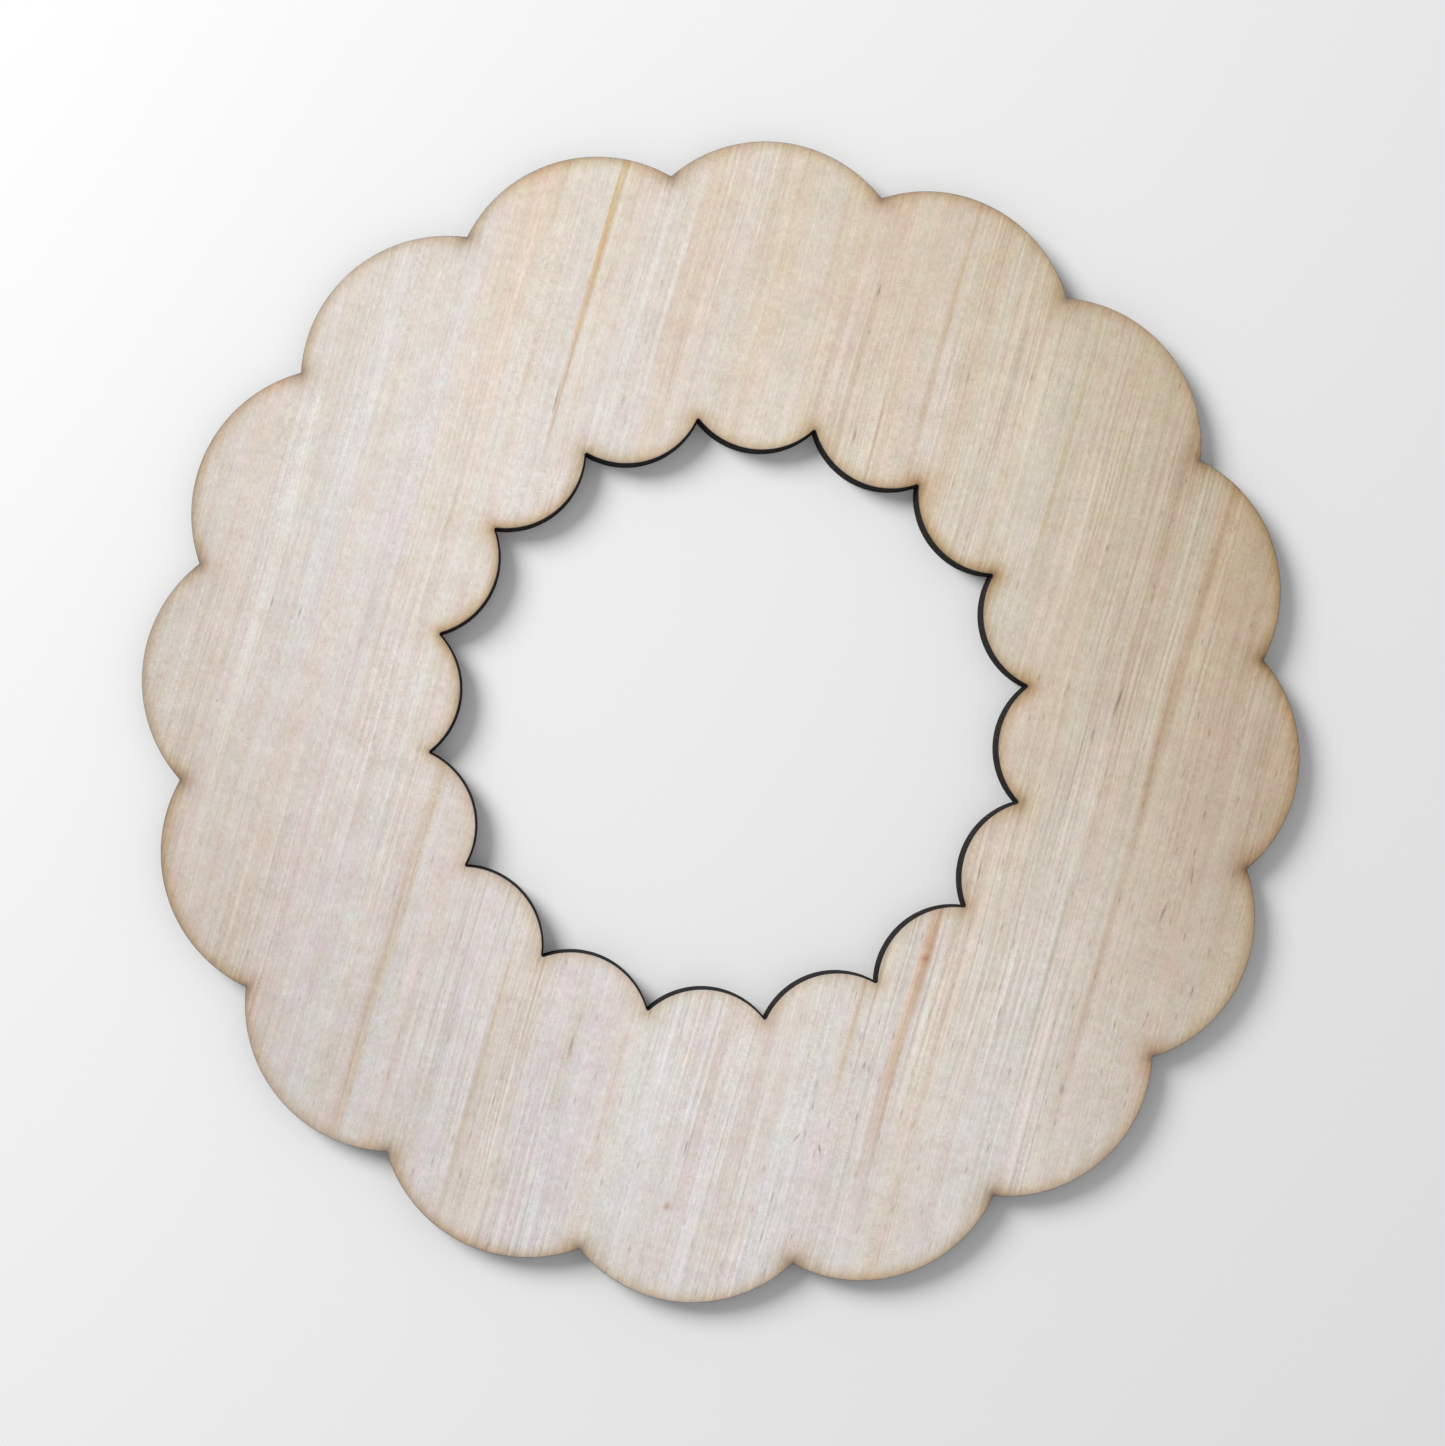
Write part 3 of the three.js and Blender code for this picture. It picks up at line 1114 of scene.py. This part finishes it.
def floor_material(colour):
    """Matt pale paint with a faint cloudiness."""
    shader = Shader("studio_floor")
    place = shader.node("TexCoord", {}, {}, output="Object")
    sockets = {"Vector": place, "Scale": FLOOR_CLOUD_SCALE, "Detail": FLOOR_CLOUD_DETAIL}
    cloud = shader.node("TexNoise", {"noise_dimensions": "3D"}, sockets)
    tone = shader.blend(cloud, tuple(channel * FLOOR_CLOUD_SHADE for channel in colour), colour)
    surface = shader.node("BsdfPrincipled", {}, {"Base Color": tone, "Roughness": FLOOR_ROUGHNESS})
    shader.node("OutputMaterial", {}, {"Surface": surface})
    return shader.material


def add_floor(context, studio):
    """A round flat floor: a grid of radius by bearing, whose first ring is a small hole's edge closed by one
    face."""
    radius = np.linspace(FLOOR_FIRST_RING, 1.0, FLOOR_RINGS)[:, None] * studio.floor_radius
    bearing = np.linspace(0, 2 * math.pi, FLOOR_SPOKES, endpoint=False)[None, :]
    height = np.zeros((FLOOR_RINGS, FLOOR_SPOKES))
    grid = np.stack([radius * np.cos(bearing), radius * np.sin(bearing), height], axis=-1)
    number = np.arange(height.size).reshape(height.shape)
    next_column = np.roll(number, -1, axis=1)
    quads = np.stack([number[:-1], number[1:], next_column[1:], next_column[:-1]], axis=-1).reshape(-1, 4)
    mesh = bpy.data.meshes.new("studio_floor")
    mesh.from_pydata(grid.reshape(-1, 3), [], quads.tolist() + [number[0].tolist()])
    mesh.materials.append(floor_material(studio.floor_colour))
    floor = bpy.data.objects.new("studio_floor", mesh)
    context.scene.collection.objects.link(floor)


def add_key_light(context, studio):
    """A round soft light that looks at the middle of the blank."""
    light = bpy.data.lights.new("key_light", "AREA")
    light.shape = "DISK"
    light.size = studio.key_width
    light.energy = studio.key_power
    away = Vector((studio.key_distance, 0, 0))
    away.rotate(Euler((0, -studio.key_elevation, studio.key_bearing)))
    key = bpy.data.objects.new("key_light", light)
    key.location = away
    key.rotation_euler = away.to_track_quat("Z", "Y").to_euler()
    context.scene.collection.objects.link(key)


def add_room_light(context, studio):
    """An even white world all round."""
    world = bpy.data.worlds.new("room")
    world.use_nodes = True
    background = world.node_tree.nodes["Background"]
    background.inputs["Color"].default_value = (1.0, 1.0, 1.0, 1.0)
    background.inputs["Strength"].default_value = studio.room_light
    context.scene.world = world


def add_camera(context, studio):
    """The camera above the face, a little left of its middle and turned a little, as it was
    photographed."""
    data = bpy.data.cameras.new("camera")
    data.sensor_width = SENSOR_WIDTH
    data.lens = studio.lens
    data.clip_start = CAMERA_NEAREST
    camera = bpy.data.objects.new("camera", data)
    turn = CAMERA_TURN.to_matrix()
    place = turn @ Vector((*CAMERA_ASIDE, studio.camera_distance)) + Vector((0, 0, BOARD_THICKNESS))
    camera.matrix_world = Matrix.Translation(place) @ turn.to_4x4()
    context.scene.collection.objects.link(camera)
    context.scene.camera = camera


class WREATH_OT_stage(bpy.types.Operator):
    """Adds the floor, the lights and the camera"""

    bl_idname = "wreath.stage"
    bl_label = "Stage"

    def execute(self, context):
        studio = context.scene.wreath_studio
        add_floor(context, studio)
        add_key_light(context, studio)
        add_room_light(context, studio)
        add_camera(context, studio)
        context.scene.view_settings.view_transform = "Standard"
        return {"FINISHED"}


class WREATH_PT_sidebar(bpy.types.Panel):
    """Lists the steps that build the blank, with its sizes and colours"""

    bl_idname = "WREATH_PT_sidebar"
    bl_label = "Wreath Blank"
    bl_space_type = "VIEW_3D"
    bl_region_type = "UI"
    bl_category = "Wreath"

    def draw(self, context):
        for operator in OPERATORS:
            self.layout.operator(operator.bl_idname)
        scene = context.scene
        for settings in (scene.wreath_shape, scene.wreath_finish, scene.wreath_studio):
            box = self.layout.box()
            for name in settings.bl_rna.properties.keys():
                if name not in {"rna_type", "name"}:
                    box.prop(settings, name)


GROUPS = (WreathShape, WreathFinish, WreathStudio)
OPERATORS = (WREATH_OT_stage, WREATH_OT_back_veneer, WREATH_OT_core_veneer, WREATH_OT_face_veneer)
CLASSES = GROUPS + OPERATORS + (WREATH_PT_sidebar,)


def register():
    for cls in CLASSES:
        bpy.utils.register_class(cls)
    bpy.types.Scene.wreath_shape = PointerProperty(type=WreathShape)
    bpy.types.Scene.wreath_finish = PointerProperty(type=WreathFinish)
    bpy.types.Scene.wreath_studio = PointerProperty(type=WreathStudio)


def unregister():
    del bpy.types.Scene.wreath_studio
    del bpy.types.Scene.wreath_finish
    del bpy.types.Scene.wreath_shape
    for cls in reversed(CLASSES):
        bpy.utils.unregister_class(cls)


def main():
    register()
    bpy.ops.wreath.stage()
    bpy.ops.wreath.back_veneer()
    bpy.ops.wreath.core_veneer()
    bpy.ops.wreath.face_veneer()


if __name__ == "__main__":
    main()
